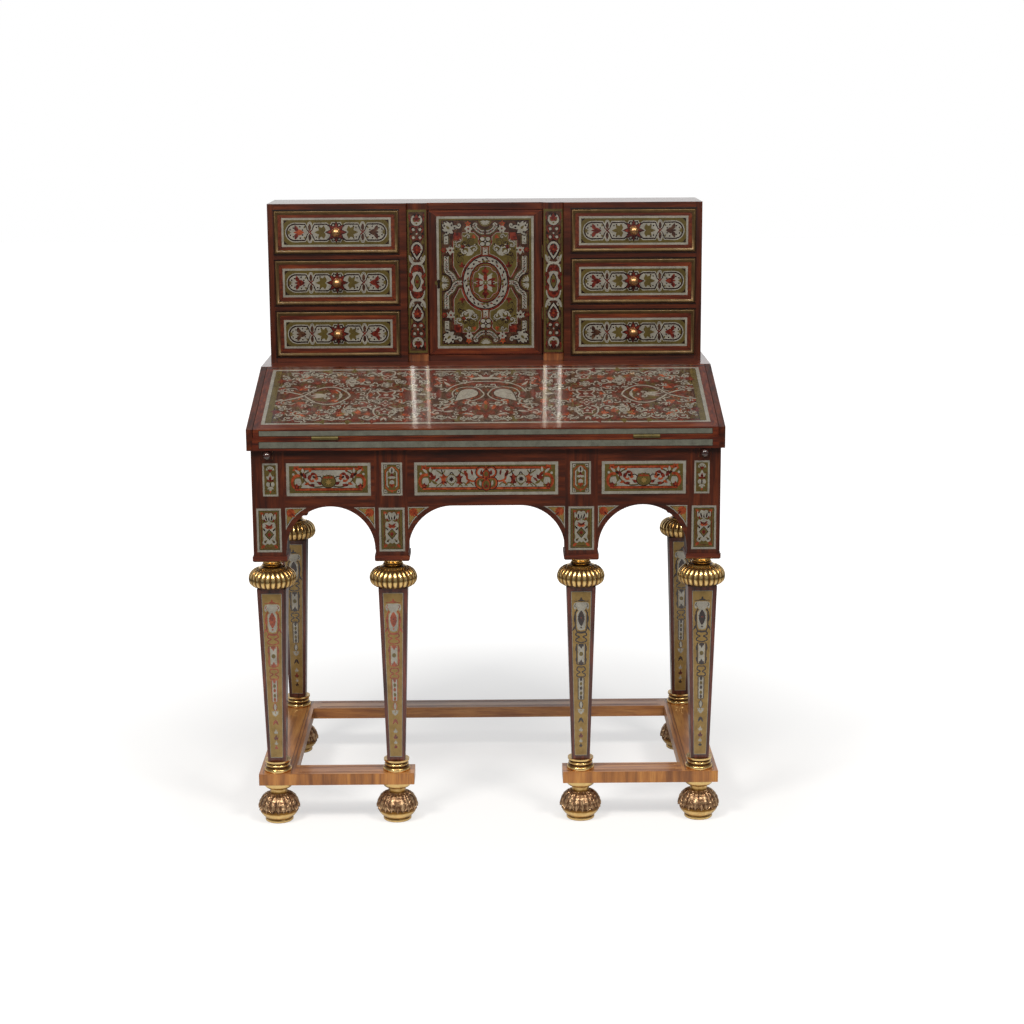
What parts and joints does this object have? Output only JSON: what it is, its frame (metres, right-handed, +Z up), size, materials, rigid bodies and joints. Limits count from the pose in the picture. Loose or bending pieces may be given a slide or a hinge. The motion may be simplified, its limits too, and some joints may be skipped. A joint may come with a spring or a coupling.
{
  "type": "bureau mazarin",
  "caption": "Slope-front writing desk with a low drawer gradin, in brass, pewter and tortoiseshell marquetry on tapering legs with gilt capitals, flat stretchers and bun feet.",
  "frame": {"origin": "on the floor, under the middle of the plan of the whole desk", "axes": "+Z up, the sitter's side with the kneehole and the drawer fronts faces -Y, +X to the sitter's right"},
  "size_m": [0.8979, 0.517, 1.1592],
  "materials": {
    "kingwood": "polished, dark striped veneer",
    "marquetry": "polished, inlaid with brass, pewter and tortoiseshell",
    "walnut": "polished, cross-banded",
    "oak": "waxed",
    "giltwood": "burnished gilding",
    "gilt_brass": "gilt, polished",
    "brass": "satin",
    "steel": "dark, satin"
  },
  "bodies": {
    "carcase": {"case_posts": "kingwood", "post_plinths": "kingwood", "apron_front": "kingwood", "apron_side_left": "kingwood", "apron_side_right": "kingwood", "case_back": "kingwood", "cheek_left": "kingwood", "cheek_right": "kingwood", "ledge_board": "kingwood", "gradin_side_left": "kingwood", "gradin_side_right": "kingwood", "gradin_top": "kingwood", "gradin_base": "kingwood", "gradin_dividers": "kingwood", "gradin_pilasters": "kingwood", "leg_front_outer_left": "marquetry", "leg_front_inner_left": "marquetry", "leg_front_inner_right": "marquetry", "leg_front_outer_right": "marquetry", "leg_back_left": "marquetry", "leg_back_right": "marquetry", "stretcher_side_left": "walnut", "stretcher_side_right": "walnut", "stretcher_back": "walnut", "stretcher_front": "walnut", "writing_bed": "walnut", "gradin_back": "oak", "loper_guides": "oak", "bun_feet": "giltwood", "leg_capitals": "giltwood", "leg_base_rings": "gilt_brass", "fall_hinge_bed_leaves": "brass", "door_hinge_frame_leaves": "brass"},
    "fall": {"fall_front": "marquetry", "fall_hinge_fall_leaves": "brass"},
    "door": {"door_panel": "marquetry", "door_hinge_door_leaves": "brass", "door_lock": "steel"},
    "bearer_left": {"loper_left": "oak", "loper_knob_left": "gilt_brass"},
    "drawer_left_bottom": {"drawer_front_left_bottom": "marquetry", "drawer_box_left_bottom": "oak", "drawer_knob_left_bottom": "gilt_brass"},
    "drawer_left_middle": {"drawer_front_left_middle": "marquetry", "drawer_box_left_middle": "oak", "drawer_knob_left_middle": "gilt_brass"},
    "drawer_left_top": {"drawer_front_left_top": "marquetry", "drawer_box_left_top": "oak", "drawer_knob_left_top": "gilt_brass"},
    "bearer_right": {"loper_right": "oak", "loper_knob_right": "gilt_brass"},
    "drawer_right_bottom": {"drawer_front_right_bottom": "marquetry", "drawer_box_right_bottom": "oak", "drawer_knob_right_bottom": "gilt_brass"},
    "drawer_right_middle": {"drawer_front_right_middle": "marquetry", "drawer_box_right_middle": "oak", "drawer_knob_right_middle": "gilt_brass"},
    "drawer_right_top": {"drawer_front_right_top": "marquetry", "drawer_box_right_top": "oak", "drawer_knob_right_top": "gilt_brass"}
  },
  "joints": [
    {"name": "fall_hinge", "type": "hinge", "parent": "carcase", "child": "fall", "pos_m": [0, -0.2535, 0.75065], "axis": [1, 0, 0], "range_deg": [0, 165.9]},
    {"name": "door_hinge", "type": "hinge", "parent": "carcase", "child": "door", "pos_m": [0.11325, 0.0933, 1.0021], "axis": [0, 0, 1], "range_deg": [0, 100]},
    {"name": "bearer_left_slide", "type": "slide", "parent": "carcase", "child": "bearer_left", "axis": [0, -1, 0], "range_m": [0, 0.25]},
    {"name": "bearer_right_slide", "type": "slide", "parent": "carcase", "child": "bearer_right", "axis": [0, -1, 0], "range_m": [0, 0.25]},
    {"name": "drawer_left_bottom_slide", "type": "slide", "parent": "carcase", "child": "drawer_left_bottom", "axis": [0, -1, 0], "range_m": [0, 0.1]},
    {"name": "drawer_left_middle_slide", "type": "slide", "parent": "carcase", "child": "drawer_left_middle", "axis": [0, -1, 0], "range_m": [0, 0.1]},
    {"name": "drawer_left_top_slide", "type": "slide", "parent": "carcase", "child": "drawer_left_top", "axis": [0, -1, 0], "range_m": [0, 0.1]},
    {"name": "drawer_right_bottom_slide", "type": "slide", "parent": "carcase", "child": "drawer_right_bottom", "axis": [0, -1, 0], "range_m": [0, 0.1]},
    {"name": "drawer_right_middle_slide", "type": "slide", "parent": "carcase", "child": "drawer_right_middle", "axis": [0, -1, 0], "range_m": [0, 0.1]},
    {"name": "drawer_right_top_slide", "type": "slide", "parent": "carcase", "child": "drawer_right_top", "axis": [0, -1, 0], "range_m": [0, 0.1]}
  ]
}
